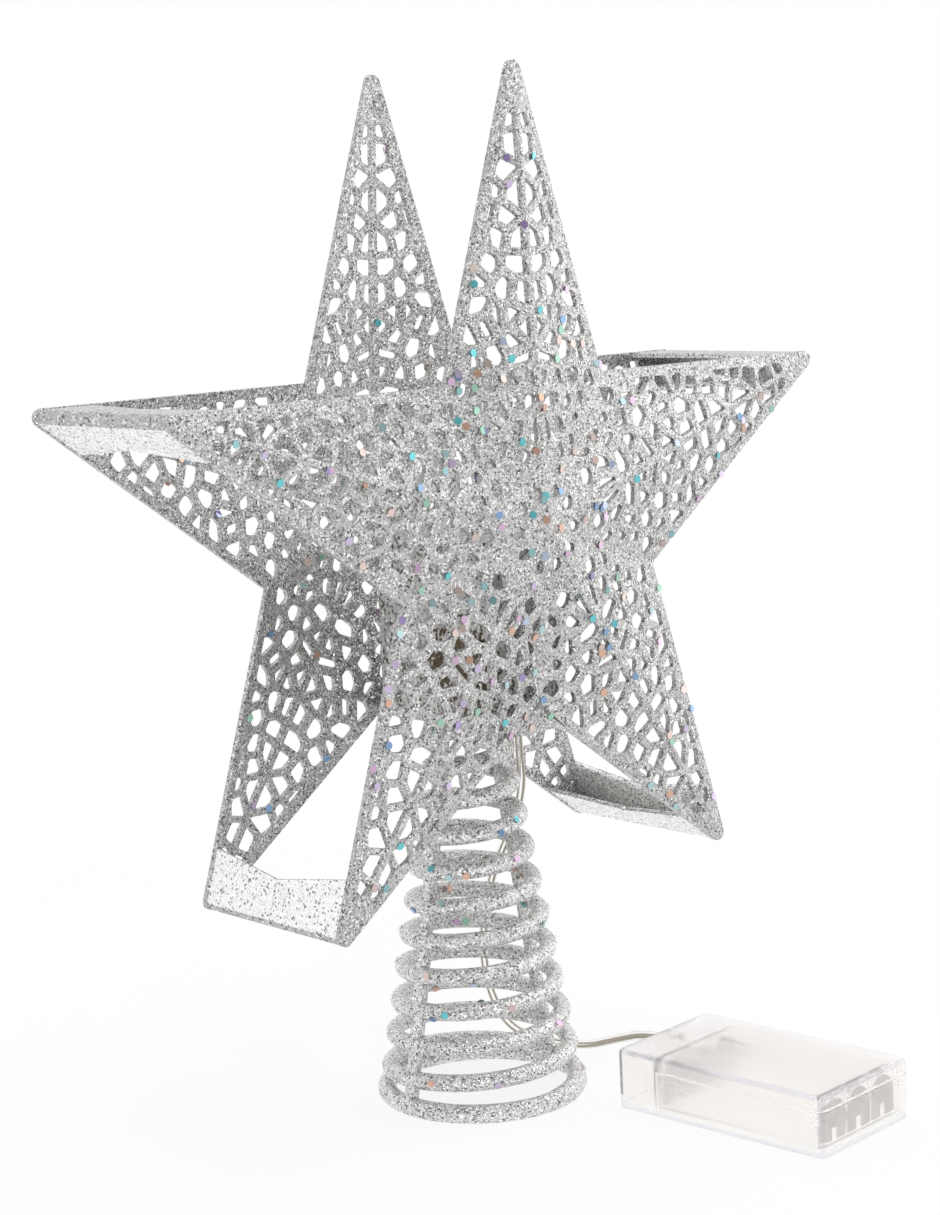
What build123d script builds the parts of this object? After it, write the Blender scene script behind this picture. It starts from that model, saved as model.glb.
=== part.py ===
from build123d import *
import math
import os
import random

os.makedirs("parts", exist_ok=True)

# Lit tree topper: a pierced five-armed star of two moulded halves on a spiral cone that slips over
# the tree's tip, with a lamp housing inside and a three-cell battery box on a clear lead.
# Millimetres, +Z up, the star's front faces -Y, origin at the middle of the cone's foot on the floor.

# Star halves
arms = 5
star_centre_height = 153.5
tip_radius = 121.0
inner_corner_radius = 46.3
star_depth = 54.4
relief = 6.8
plate_wall = 2.2
nose_radius = 2.3
tip_wall = 1.6
tip_wall_reach = 19.5
tip_wall_slant = 4.0
web_reach = 52.8

# Pierced pattern of a facet
border = 3.2
web = 1.8
solid_tip = 17.0
solid_centre = 7.0
cell_spacing = 9.8
row_spacing = 8.3
cell_jitter = 2.1
least_cell_area = 9.0
least_cell_edge = 1.1
pattern_seed = 11

# Base plate between the halves
base_width = 26.0
base_thickness = 2.0
base_rise = 1.8
tongue_width = 10.0
slot_clearance = 0.15
rail_width = 2.0
rail_height = 1.6
rail_spacing = 13.6
rail_length = 34.0

# Tree cone
wire_diameter = 4.6
wire_sides = 4
ring_diameter = 5.0
ring_sides = 8
foot_cut = 0.5
foot_radius = 25.6
top_radius = 8.5
coil_pitch = 9.0
coil_start_angle = -98.4
rib_width = 3.2
rib_depth = 3.0
cap_radius = 11.5
cap_thickness = 4.0
coil_bite = 1.0
neck_radius = 5.0
neck_clearance = 0.15
collar_step = 0.5
collar_height = 1.2

# Lamp housing, board and lamps
housing_depth = 44.6
housing_height = 46.0
housing_wall = 1.5
housing_corner = 4.0
housing_edge = 1.2
housing_setback = 0.3
board_thickness = 1.6
board_clearance = 0.3
lamp_count = 3
lamp_spacing = 12.0
lamp_radius = 2.5
lamp_sides = 8
lamp_height = 8.0
lamp_flange = 0.4
lamp_flange_height = 1.0
lamp_crown = 1.2

# Battery box: lies lid down, its cord end towards the cone
box_place = (13.4, -37.4, 0)
box_heading = -85.3
box_length = 65.0
box_width = 38.0
box_height = 15.7
box_wall = 1.6
box_corner = 2.0
box_edge = 1.2
room_length = 13.0
rim_drop = 4.0
bays = 3
skirt_wall = 1.2
divider_wall = 1.0
divider_drop = 3.0
lid_clearance = 0.3
ridge_height = 1.0
ridge_proud = 0.8
ridge_level = 8.8

# Contacts and springs
sheet = 0.5
contact_gap = 1.0
contact_foot = 2.2
contact_top = 12.8
contact_arch = 4.8
fork_width = 2.4
fork_height = 3.4
strip_low = 5.4
strip_high = 7.6
dimple_radius = 1.9
dimple_proud = 0.8
dimple_taper = 35.0
spring_wire = 0.7
spring_sides = 3
spring_margin = 1.2
spring_taper = 1.1
spring_length = 6.0
spring_turns = 2.5
spring_seat = 0.1

# Slide switch under the cord end of the box
switch_length = 9.0
switch_width = 4.6
switch_height = 5.0
switch_place = 6.3
pin_spacing = 2.6
pin_thickness = 0.6
pin_height = 3.0
knob_length = 4.0
knob_width = 3.0
knob_recess = 0.3
knob_travel = 2.0
knob_clearance = 0.3
stem_length = 2.2
stem_width = 1.6
stem_height = 1.8

# Lead, from the lamp board down behind the cone and round it to the battery box
cord_diameter = 2.4
cord_sides = 6
cord_hole_clearance = 0.25
cord_exit = (9.8, -8.8)
cord_drop = 0.9487
cord_clearance = 3.1
# Degrees round the cone and share of the spiral's height
cord_hang = [
    (0.0, 0.756),
    (38.66, 0.4995),
    (43.93, 0.3374),
    (43.99, 0.2503),
    (41.04, 0.1487),
    (32.12, 0.0472),
]
cord_lie = [
    (35.3, 12.2, 1.8),
    (39.3, 0.3, 1.6),
    (38.5, -12.3, 6.5),
    (37.2, -26.2, 11.5),
]
cord_corner_share = 0.45
cord_last_run = 12.3

# Places worked out from the sizes above
half_step = math.pi / arms
tip = Vector(tip_radius, 0)
inner_corner = Vector(math.cos(half_step), math.sin(half_step)) * inner_corner_radius
flank_angle = math.atan2(inner_corner.Y, tip_radius - inner_corner.X)
across_fall = (1 - inner_corner.X / tip_radius) / inner_corner.Y
nose_centre = tip_radius - nose_radius / math.sin(flank_angle)
nose_end = nose_centre + nose_radius
arm_angles = [90 + 360 / arms * arm for arm in range(arms)]
walled_arms = arm_angles[1:]
lower_arms = {arm_angles[arms // 2]: 1, arm_angles[arms // 2 + 1]: -1}

base_bottom = star_centre_height - web_reach + base_rise
base_top = base_bottom + base_thickness
web_face = star_depth / 2 - relief * ((star_centre_height - base_bottom) / inner_corner_radius - 1)
base_depth = 2 * (web_face - plate_wall - slot_clearance)
board_bottom = base_top + rail_height
board_top = board_bottom + board_thickness
housing_centre = (housing_depth - base_depth) / 2 + housing_setback
room_width = base_width - 2 * housing_wall
room_depth = housing_depth - 2 * housing_wall

box_turn = math.radians(box_heading)
box_plane = Plane(box_place, x_dir=(math.cos(box_turn), math.sin(box_turn), 0))
rim_bottom = box_height - rim_drop
ceiling = box_height - box_wall
bay_start = room_length
bay_end = box_length - 2 * box_wall - lid_clearance
skirt_outer = box_wall + lid_clearance
bay_side = skirt_outer + skirt_wall
bay_width = (box_width - 2 * bay_side) / bays
bay_centres = [bay_side + bay_width * (bay + 0.5) for bay in range(bays)]
contact_width = bay_width - contact_gap
spring_base_radius = contact_width / 2 - spring_margin
spring_top_radius = spring_base_radius - spring_taper
hanging_edge = box_wall + lid_clearance


def front_point(angle, spot):
    """Point of the star's front face, from a spot with x along an arm and y across it."""
    turn = math.radians(angle)
    rise = relief * (1 - spot.X / tip_radius - across_fall * abs(spot.Y))
    across = spot.X * math.cos(turn) - spot.Y * math.sin(turn)
    up = spot.X * math.sin(turn) + spot.Y * math.cos(turn)
    return Vector(across, -star_depth / 2 - rise, star_centre_height + up)


def facet_plane(angle, side):
    """Plane of the facet on one side of an arm's ridge."""
    centre = front_point(angle, Vector(0, 0))
    along = front_point(angle, tip) - centre
    across = front_point(angle, Vector(inner_corner.X, side * inner_corner.Y)) - centre
    return Plane(centre, x_dir=along, z_dir=along.cross(across) * side)


def clip(polygon, point, inward):
    """The part of a convex polygon on one side of a line."""
    kept = []
    for here, ahead in zip(polygon, polygon[1:] + polygon[:1]):
        depth = (here - point).dot(inward)
        next_depth = (ahead - point).dot(inward)
        if depth >= 0:
            kept.append(here)
        if depth * next_depth < 0:
            kept.append(here + (ahead - here) * (depth / (depth - next_depth)))
    return kept


def polygon_area(polygon):
    """Area of a flat polygon."""
    pairs = zip(polygon, polygon[1:] + polygon[:1])
    return abs(sum(here.X * ahead.Y - ahead.X * here.Y for here, ahead in pairs)) / 2


def facet_cells():
    """Openings of one facet: cells round a jittered lattice of sites, a web apart."""
    jitter = random.Random(pattern_seed)
    sites = []
    for row in range(int(inner_corner.Y / row_spacing) + 2):
        for place in range(int(tip_radius / cell_spacing) + 2):
            along = (place + 0.5 * (row % 2)) * cell_spacing + jitter.uniform(-cell_jitter, cell_jitter)
            across = (row + 0.5) * row_spacing + jitter.uniform(-cell_jitter, cell_jitter)
            sites.append(Vector(along, across))
    valley_side = Vector(math.sin(half_step), -math.cos(half_step))
    flank_side = Vector(-math.sin(flank_angle), -math.cos(flank_angle))
    field = [Vector(0, 0), tip, inner_corner]
    field = clip(field, Vector(0, web / 2), Vector(0, 1))
    field = clip(field, valley_side * (web / 2), valley_side)
    field = clip(field, tip + flank_side * border, flank_side)
    field = clip(field, Vector(tip_radius - solid_tip, 0), Vector(-1, 0))
    field = clip(field, inner_corner.normalized() * solid_centre, inner_corner + tip)
    cells = []
    for site in sites:
        cell = field
        for other in sites:
            if other is not site:
                away = (site - other).normalized()
                cell = clip(cell, (site + other) / 2 + away * (web / 2), away)
        edges = zip(cell, cell[1:] + cell[:1])
        cell = [here for here, ahead in edges if (ahead - here).length > least_cell_edge]
        if len(cell) > 2 and polygon_area(cell) > least_cell_area:
            cells.append(cell)
    return cells


def facet_outline(angle, side):
    """Edge of one facet with its rounded nose, and its half of the web over the lowest notch."""
    swing = math.pi / 2 - flank_angle
    nose = [Vector(math.cos(swing * step / 2), math.sin(swing * step / 2)) for step in range(3)]
    outline = [Vector(0, 0)] + [Vector(nose_centre, 0) + spoke * nose_radius for spoke in nose]
    if lower_arms.get(angle) == side:
        drop = web_reach - inner_corner_radius
        fall = tip_radius * math.cos(half_step) - inner_corner_radius
        outline.append(inner_corner + (tip - inner_corner) * (drop / fall))
        outline.append(inner_corner * (web_reach / inner_corner_radius))
    else:
        outline.append(inner_corner)
    return outline


def facet_polygon(angle, side, spots):
    """Spots of one facet, turned to the points of its own plane."""
    plane = facet_plane(angle, side)
    placed = [plane.to_local_coords(front_point(angle, Vector(spot.X, side * spot.Y))) for spot in spots]
    return placed[::side]


def tip_wall_solid(angle):
    """V-shaped wall that runs back from an arm's tip to the seam half way through the star."""
    turn = math.radians(angle)
    plane = Plane(
        (0, -star_depth / 2, star_centre_height),
        x_dir=(math.cos(turn), 0, math.sin(turn)),
        z_dir=(0, -1, 0),
    )
    start = nose_end - tip_wall_reach
    half_nose = facet_outline(angle, 0)[1:-1]
    mouth = Vector(start, (tip_radius - start) * math.tan(flank_angle))
    upper = half_nose + [mouth]
    lower = [Vector(spot.X, -spot.Y) for spot in upper[:0:-1]]
    hollow_tip = tip_radius - tip_wall / math.sin(flank_angle)
    hollow_mouth = (hollow_tip - start) * math.tan(flank_angle)
    hollow = [Vector(start, -hollow_mouth), Vector(hollow_tip, 0), Vector(start, hollow_mouth)]
    hollow = clip(hollow, Vector(nose_end - tip_wall, 0), Vector(-1, 0))
    slant = Plane(
        plane.from_local_coords((start, 0, 0)),
        z_dir=plane.from_local_coords((star_depth / 2, 0, tip_wall_slant)) - plane.origin,
    )
    with BuildPart() as wall:
        with BuildSketch(plane):
            Polygon(*upper, *lower, align=None)
            Polygon(*hollow, align=None, mode=Mode.SUBTRACT)
        extrude(amount=-star_depth / 2)
        split(bisect_by=slant, keep=Keep.TOP)
    return wall.part


def spiral_points(axis, start_radius, end_radius, rise, turns, start_angle):
    """Points and directions at about each half turn of a spiral that climbs a plane's Z axis."""
    spans = math.ceil(2 * turns)
    full_turn = 2 * math.pi * turns
    points = []
    directions = []
    for span in range(spans + 1):
        share = span / spans
        angle = math.radians(start_angle) + full_turn * share
        radius = start_radius + (end_radius - start_radius) * share
        spoke = Vector(math.cos(angle), math.sin(angle), 0)
        round_about = Vector(-math.sin(angle), math.cos(angle), 0)
        climb = Vector(0, 0, rise / full_turn)
        drift = spoke * ((end_radius - start_radius) / full_turn)
        points.append(axis.from_local_coords(spoke * radius + Vector(0, 0, rise * share)))
        direction = axis.from_local_coords(round_about * radius + drift + climb) - axis.origin
        directions.append(direction.normalized())
    return points, directions


def biarcs(points, directions):
    """Two tangent arcs from each point to the next."""
    for here, ahead, leave, arrive in zip(points, points[1:], directions, directions[1:]):
        chord = ahead - here
        spread = 2 * (1 - leave.dot(arrive))
        lean = chord.dot(leave + arrive)
        reach = (math.sqrt(lean**2 + spread * chord.dot(chord)) - lean) / spread
        first = here + leave * reach
        second = ahead - arrive * reach
        TangentArc(here, (first + second) / 2, tangent=leave)
        TangentArc((first + second) / 2, ahead, tangent=second - first)


def wound_wire(line, section):
    """Solids of a wire, its section turned round each arc of its line in turn."""
    solids = []
    for arc in line.edges():
        spoke = arc.position_at(0) - arc.arc_center
        axis = Axis(arc.arc_center, spoke.cross(arc.tangent_at(0)))
        swing = math.degrees(arc.length / arc.radius)
        solids += revolve(section, axis=axis, revolution_arc=swing, mode=Mode.PRIVATE).solids()
        section = section.rotate(axis, swing)
    return solids


def least_gap(path, thickness):
    """Least clear distance of a wound wire to its own other turns, on points along it."""
    spacing = thickness / 2
    count = int(path.length / spacing)
    points = [path.position_at(index / count) for index in range(count + 1)]
    beside = int(3 * thickness / spacing)
    gaps = []
    for index, point in enumerate(points):
        gaps += [(other - point).length for other in points[index + beside:]]
    return min(gaps) - thickness


# Star halves
cells = facet_cells()
tip_walls = [tip_wall_solid(angle) for angle in walled_arms]

with BuildPart() as front_star:
    for angle in arm_angles:
        for side in (1, -1):
            with BuildSketch(facet_plane(angle, side)):
                Polygon(*facet_polygon(angle, side, facet_outline(angle, side)), align=None)
                for cell in cells:
                    Polygon(*facet_polygon(angle, side, cell), align=None, mode=Mode.SUBTRACT)
            extrude(amount=plate_wall, dir=(0, 1, 0), clean=False)
    add(tip_walls, clean=False)
    with BuildSketch(Plane.XZ.offset(star_depth / 2 - plate_wall - relief)):
        with Locations((0, (base_bottom + base_top) / 2)):
            Rectangle(tongue_width + 2 * slot_clearance, base_thickness + 2 * slot_clearance)
    extrude(amount=plate_wall + 2 * relief, clean=False, mode=Mode.SUBTRACT)

with BuildPart() as back_star:
    mirror(front_star.part, about=Plane.XZ)

print("cells in a facet", len(cells))

# Base plate, with tongues through both halves, rails for the board, and holes for cone and lead
with BuildPart() as base_plate:
    with BuildSketch(Plane.XY.offset(base_bottom)):
        Rectangle(base_width, base_depth)
        Rectangle(tongue_width, 2 * web_face)
        Circle(neck_radius + neck_clearance, mode=Mode.SUBTRACT)
        with Locations(cord_exit):
            Circle(cord_diameter / 2 + cord_hole_clearance, mode=Mode.SUBTRACT)
    extrude(amount=base_thickness)
    with BuildSketch(Plane.XY.offset(base_top)):
        with GridLocations(rail_spacing, 0, 2, 1):
            Rectangle(rail_width, rail_length)
    extrude(amount=rail_height)

# Tree cone: foot ring, spiral, two ribs and a cap whose neck snaps through the base plate
ring_height = ring_diameter / 2 - foot_cut
coil_rise = base_bottom - cap_thickness + coil_bite - ring_height
coil_turns = coil_rise / coil_pitch
coil_axis = Plane.XY.offset(ring_height)
coil_points, coil_directions = spiral_points(
    coil_axis, foot_radius, top_radius, coil_rise, coil_turns, coil_start_angle
)

with BuildLine() as coil_line:
    biarcs(coil_points, coil_directions)
with BuildSketch(Plane(coil_points[0], x_dir=(0, 0, 1), z_dir=coil_directions[0])) as coil_section:
    RegularPolygon(wire_diameter / 2, wire_sides, rotation=180 / wire_sides)
with BuildPart() as tree_cone:
    add(wound_wire(coil_line.line, coil_section.sketch.face()))
    with BuildSketch(Plane.XZ):
        with Locations((foot_radius, ring_height)):
            RegularPolygon(ring_diameter / 2, ring_sides, rotation=180 / ring_sides)
        with Locations((foot_radius, -ring_diameter / 2)):
            Rectangle(ring_diameter, ring_diameter, mode=Mode.SUBTRACT)
    revolve(axis=Axis.Z)
    with BuildSketch(Plane.XZ) as rib_profile:
        with BuildLine():
            Polyline(
                (foot_radius - rib_depth / 2, ring_height),
                (foot_radius + rib_depth / 2, ring_height),
                (top_radius + rib_depth / 2, ring_height + coil_rise),
                (top_radius - rib_depth / 2, ring_height + coil_rise),
                close=True,
            )
        make_face()
        mirror(about=Plane.YZ)
    extrude(amount=rib_width / 2, both=True)
    with BuildSketch(Plane.XZ):
        with BuildLine():
            Polyline(
                (0, base_bottom - cap_thickness),
                (cap_radius, base_bottom - cap_thickness),
                (cap_radius, base_bottom),
                (neck_radius, base_bottom),
                (neck_radius, base_top),
                (neck_radius + collar_step, base_top),
                (neck_radius, base_top + collar_height),
                (0, base_top + collar_height),
                close=True,
            )
        make_face()
    revolve(axis=Axis.Z)

coil_gap = least_gap(coil_line.wire(), wire_diameter)
print("cone spiral turns", round(coil_turns, 2), "least gap", round(coil_gap, 2))

# Lamp housing, board and lamps
with BuildPart() as lamp_housing:
    with BuildSketch(Plane.XY.offset(base_top)):
        with Locations((0, housing_centre)):
            RectangleRounded(base_width, housing_depth, housing_corner)
    extrude(amount=housing_height)
    chamfer(lamp_housing.faces().sort_by(Axis.Z)[-1].edges(), housing_edge)
    with BuildSketch(Plane.XY.offset(base_top)):
        with Locations((0, housing_centre)):
            RectangleRounded(room_width, room_depth, housing_corner - housing_wall)
    extrude(amount=housing_height - housing_wall, mode=Mode.SUBTRACT)

with BuildPart() as lamp_board:
    with BuildSketch(Plane.XY.offset(board_bottom)):
        with Locations((0, housing_centre)):
            RectangleRounded(
                room_width - 2 * board_clearance,
                room_depth - 2 * board_clearance,
                housing_corner - housing_wall,
            )
    extrude(amount=board_thickness)

lamps = []
for place in range(lamp_count):
    spot = housing_centre + (place - (lamp_count - 1) / 2) * lamp_spacing
    with BuildPart() as lamp:
        with BuildSketch(Plane.XY.offset(board_top)):
            with Locations((0, spot)):
                RegularPolygon(lamp_radius + lamp_flange, lamp_sides)
        extrude(amount=lamp_flange_height)
        with BuildSketch(Plane.XY.offset(board_top)):
            with Locations((0, spot)):
                RegularPolygon(lamp_radius, lamp_sides)
        extrude(amount=lamp_height)
        chamfer(lamp.faces().sort_by(Axis.Z)[-1].edges(), lamp_crown)
    lamps.append(lamp.part)

# Lead
cord_inside = box_plane.from_local_coords((cord_last_run, 0, 0)) - box_plane.origin
cord_points = [Vector(*cord_exit, height) for height in (board_bottom, ring_height + cord_drop * coil_rise)]
for angle, share in cord_hang:
    turn_radius = foot_radius + (top_radius - foot_radius) * share
    reach = turn_radius + wire_diameter / 2 + cord_clearance + cord_diameter / 2
    turn = math.radians(angle)
    height = ring_height + coil_rise * share
    cord_points.append(Vector(reach * math.cos(turn), reach * math.sin(turn), height))
cord_points += [Vector(*point) for point in cord_lie]
cord_points.append(cord_points[-1] + cord_inside)
cord_entry = box_plane.to_local_coords(cord_points[-1])
cord_radii = []
for before, corner, after in zip(cord_points, cord_points[1:], cord_points[2:]):
    run = min((corner - before).length, (after - corner).length)
    half_turn = math.radians((corner - before).get_angle(after - corner)) / 2
    cord_radii.append(cord_corner_share * run / math.tan(half_turn))

with BuildPart() as cord:
    with BuildLine() as cord_line:
        FilletPolyline(*cord_points, radius=cord_radii)
    with BuildSketch(Plane(cord_points[0], z_dir=cord_points[1] - cord_points[0])) as cord_section:
        RegularPolygon(cord_diameter / 2, cord_sides)
    sweep(path=cord_line.line)

cord_length = cord_line.wire().length
print("lead radii", [round(radius, 1) for radius in cord_radii], "length", round(cord_length, 1))
cord_ratio = cord.part.volume / (cord_section.sketch.area * cord_length)
print("lead volume over section times length", round(cord_ratio, 4))

# Battery tray: closed switch room at the cord end, open bays with a rim, skirts and contact wall
with BuildPart() as battery_tray:
    with BuildSketch(box_plane):
        Rectangle(box_length, box_width, align=Align.MIN)
    extrude(amount=box_height)
    fillet(battery_tray.edges().filter_by(Axis.Z), box_corner)
    fillet(battery_tray.faces().sort_by(Axis.Z)[-1].edges(), box_edge)
    with BuildSketch(box_plane.offset(box_wall)):
        with Locations((box_wall, box_wall)):
            Rectangle(room_length - 2 * box_wall, box_width - 2 * box_wall, align=Align.MIN)
    extrude(amount=ceiling - box_wall, mode=Mode.SUBTRACT)
    with BuildSketch(box_plane):
        with Locations((room_length, 0)):
            Rectangle(box_length, box_width, align=Align.MIN)
    extrude(amount=rim_bottom, mode=Mode.SUBTRACT)
    with BuildSketch(box_plane):
        with Locations((room_length, box_wall)):
            Rectangle(box_length - room_length - box_wall, box_width - 2 * box_wall, align=Align.MIN)
    extrude(amount=ceiling, mode=Mode.SUBTRACT)
    with BuildSketch(box_plane.offset(hanging_edge)):
        with Locations((bay_start, skirt_outer)):
            Rectangle(bay_end - bay_start + box_wall, box_width - 2 * skirt_outer, align=Align.MIN)
        with Locations((bay_start, bay_side)):
            Rectangle(bay_end - bay_start, box_width - 2 * bay_side, align=Align.MIN, mode=Mode.SUBTRACT)
    extrude(amount=ceiling - hanging_edge)
    with BuildSketch(box_plane.offset(ridge_level - ridge_height / 2)):
        with Locations((bay_start, skirt_outer - ridge_proud)):
            Rectangle(bay_end - bay_start, ridge_proud, align=Align.MIN)
        with Locations((bay_start, box_width - skirt_outer)):
            Rectangle(bay_end - bay_start, ridge_proud, align=Align.MIN)
    extrude(amount=ridge_height)
    with BuildSketch(box_plane.offset(ceiling - divider_drop)):
        for bay in range(1, bays):
            with Locations((bay_start, bay_side + bay_width * bay - divider_wall / 2)):
                Rectangle(bay_end - bay_start, divider_wall, align=Align.MIN)
    extrude(amount=divider_drop)
    with BuildSketch(box_plane):
        with Locations((switch_place, box_width / 2)):
            Rectangle(knob_width + 2 * knob_clearance, knob_length + knob_travel + 2 * knob_clearance)
    extrude(amount=box_wall, mode=Mode.SUBTRACT)
    cord_hole = box_plane.from_local_coords((0, cord_entry.Y, cord_entry.Z))
    with BuildSketch(Plane(cord_hole, z_dir=box_plane.x_dir)):
        Circle(cord_diameter / 2 + cord_hole_clearance)
    extrude(amount=box_wall, mode=Mode.SUBTRACT)

# Battery lid: a channel with an end wall that slides off over the ridges of the tray
with BuildPart() as battery_lid:
    with BuildSketch(box_plane):
        with Locations((room_length + lid_clearance, 0)):
            Rectangle(box_length - room_length - lid_clearance, box_width, align=Align.MIN)
    extrude(amount=rim_bottom - lid_clearance)
    far_edges = battery_lid.edges().filter_by(Axis.Z).sort_by(Axis(box_plane.origin, box_plane.x_dir))[-2:]
    fillet(far_edges, box_corner)
    with BuildSketch(box_plane.offset(box_wall)):
        with Locations((room_length, box_wall)):
            Rectangle(box_length - room_length - box_wall, box_width - 2 * box_wall, align=Align.MIN)
    extrude(amount=rim_bottom, mode=Mode.SUBTRACT)
    with BuildSketch(box_plane.offset(ridge_level - ridge_height / 2 - lid_clearance)):
        with Locations((room_length, box_wall - ridge_proud)):
            Rectangle(
                box_length - room_length - box_wall,
                box_width - 2 * (box_wall - ridge_proud),
                align=Align.MIN,
            )
    extrude(amount=ridge_height + 2 * lid_clearance, mode=Mode.SUBTRACT)


def contact_plate(wall_place, facing, served, sprung):
    """Sheet contact on an end wall of the bays, one arched tongue for each bay that it serves."""
    plane = Plane(
        box_plane.from_local_coords((wall_place, 0, 0)),
        x_dir=box_plane.y_dir * facing,
        z_dir=box_plane.x_dir * facing,
    )
    shoulder = contact_top - contact_arch
    with BuildPart() as plate:
        with BuildSketch(plane):
            for bay in served:
                across = bay_centres[bay] * facing
                with Locations((across, (contact_foot + shoulder) / 2)):
                    Rectangle(contact_width, shoulder - contact_foot)
                with Locations((across, shoulder)):
                    Ellipse(contact_width / 2, contact_arch)
                with Locations((across, contact_foot + fork_height / 2)):
                    Rectangle(fork_width, fork_height, mode=Mode.SUBTRACT)
            middle = (bay_centres[served[0]] + bay_centres[served[-1]]) / 2 * facing
            with Locations((middle, (strip_low + strip_high) / 2)):
                Rectangle((len(served) - 1) * bay_width + fork_width, strip_high - strip_low)
        extrude(amount=sheet)
        for bay in served:
            if bay not in sprung:
                with BuildSketch(plane.offset(sheet)):
                    with Locations((bay_centres[bay] * facing, shoulder)):
                        Circle(dimple_radius)
                extrude(amount=dimple_proud, taper=dimple_taper)
    return plate.part


def contact_spring(wall_place, facing, bay):
    """Conical spring on a contact sheet, its wide end against the sheet."""
    shoulder = contact_top - contact_arch
    start = wall_place + facing * (sheet + spring_seat + spring_wire / 2)
    seat = box_plane.from_local_coords((start, bay_centres[bay], shoulder))
    axis = Plane(seat, z_dir=box_plane.x_dir * facing)
    points, directions = spiral_points(
        axis, spring_base_radius, spring_top_radius, spring_length, spring_turns, 0
    )
    with BuildLine() as spring_line:
        biarcs(points, directions)
    with BuildSketch(Plane(points[0], x_dir=points[0] - axis.origin, z_dir=directions[0])) as section:
        RegularPolygon(spring_wire / 2, spring_sides)
    with BuildPart() as spring:
        add(wound_wire(spring_line.line, section.sketch.face()))
    print("spring of bay", bay + 1, "least gap", round(least_gap(spring_line.wire(), spring_wire), 2))
    return spring.part


contacts = {
    "contact_far_double": contact_plate(bay_end, -1, [0, 1], [1]),
    "contact_far_single": contact_plate(bay_end, -1, [2], []),
    "contact_near_single": contact_plate(bay_start, 1, [0], [0]),
    "contact_near_double": contact_plate(bay_start, 1, [1, 2], [2]),
}
springs = {
    "spring_1": contact_spring(bay_start, 1, 0),
    "spring_2": contact_spring(bay_end, -1, 1),
    "spring_3": contact_spring(bay_start, 1, 2),
}

# Slide switch: body with three pins on the room's floor, and its knob in the window
with BuildPart() as switch_body:
    with BuildSketch(box_plane.offset(box_wall)):
        with Locations((switch_place, box_width / 2)):
            Rectangle(switch_width, switch_length)
            Rectangle(
                stem_width + 2 * knob_clearance,
                stem_length + knob_travel + 2 * knob_clearance,
                mode=Mode.SUBTRACT,
            )
    extrude(amount=stem_height + knob_clearance)
    with BuildSketch(box_plane.offset(box_wall + stem_height + knob_clearance)):
        with Locations((switch_place, box_width / 2)):
            Rectangle(switch_width, switch_length)
    extrude(amount=switch_height - stem_height - knob_clearance)
    with BuildSketch(box_plane.offset(box_wall + switch_height)):
        with Locations((switch_place, box_width / 2)):
            with GridLocations(0, pin_spacing, 1, 3):
                Rectangle(pin_thickness, 2 * pin_thickness)
    extrude(amount=pin_height)

with BuildPart() as switch_knob:
    with BuildSketch(box_plane.offset(knob_recess)):
        with Locations((switch_place, (box_width - knob_travel) / 2)):
            Rectangle(knob_width, knob_length)
    extrude(amount=box_wall - knob_recess - knob_clearance / 2)
    with BuildSketch(box_plane.offset(box_wall - knob_clearance / 2)):
        with Locations((switch_place, (box_width - knob_travel) / 2)):
            Rectangle(stem_width, stem_length)
    extrude(amount=stem_height)

# Every piece under its own name
pieces = {
    "front_star": front_star.part,
    "back_star": back_star.part,
    "base_plate": base_plate.part,
    "tree_cone": tree_cone.part,
    "lamp_housing": lamp_housing.part,
    "lamp_board": lamp_board.part,
    "cord": cord.part,
    "battery_tray": battery_tray.part,
    "battery_lid": battery_lid.part,
    "switch_body": switch_body.part,
    "switch_knob": switch_knob.part,
    **{f"lamp_{number + 1}": lamp_part for number, lamp_part in enumerate(lamps)},
    **contacts,
    **springs,
}
for name, piece in pieces.items():
    piece.label = name
    export_step(piece, f"parts/{name}.step")
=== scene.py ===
import math
import random

import bmesh
import bpy
from mathutils import Matrix, Vector
from mathutils.bvhtree import BVHTree
from mathutils.geometry import delaunay_2d_cdt


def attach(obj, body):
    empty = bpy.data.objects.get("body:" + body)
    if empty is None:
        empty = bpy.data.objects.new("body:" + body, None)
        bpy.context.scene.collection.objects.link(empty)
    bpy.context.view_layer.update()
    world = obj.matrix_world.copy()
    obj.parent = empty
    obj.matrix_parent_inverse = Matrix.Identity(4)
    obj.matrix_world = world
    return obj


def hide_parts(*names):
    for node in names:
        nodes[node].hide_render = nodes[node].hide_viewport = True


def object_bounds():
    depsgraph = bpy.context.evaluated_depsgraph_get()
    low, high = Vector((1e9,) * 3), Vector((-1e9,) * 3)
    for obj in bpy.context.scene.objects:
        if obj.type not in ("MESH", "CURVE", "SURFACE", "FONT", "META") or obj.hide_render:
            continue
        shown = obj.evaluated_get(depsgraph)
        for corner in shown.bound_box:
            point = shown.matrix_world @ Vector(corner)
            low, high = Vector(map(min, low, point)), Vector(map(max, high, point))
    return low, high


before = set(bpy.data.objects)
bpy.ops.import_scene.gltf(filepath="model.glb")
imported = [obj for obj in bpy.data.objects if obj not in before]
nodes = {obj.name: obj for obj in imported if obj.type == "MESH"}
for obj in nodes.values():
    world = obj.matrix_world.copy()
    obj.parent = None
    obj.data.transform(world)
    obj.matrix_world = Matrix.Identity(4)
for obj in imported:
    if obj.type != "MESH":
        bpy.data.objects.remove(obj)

cad_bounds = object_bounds()


# Camera: stands to the left of the star's front, a little above its middle, and looks slightly
# down. It leans by the small roll that the photograph has.
camera_place = (-0.4429, -0.4879, 0.2306)
camera_look = Vector((0.6668, 0.7300, -0.1498))
camera_roll = math.radians(-2.44)
camera_lens = 75.6
camera_sensor = 36.0


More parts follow.
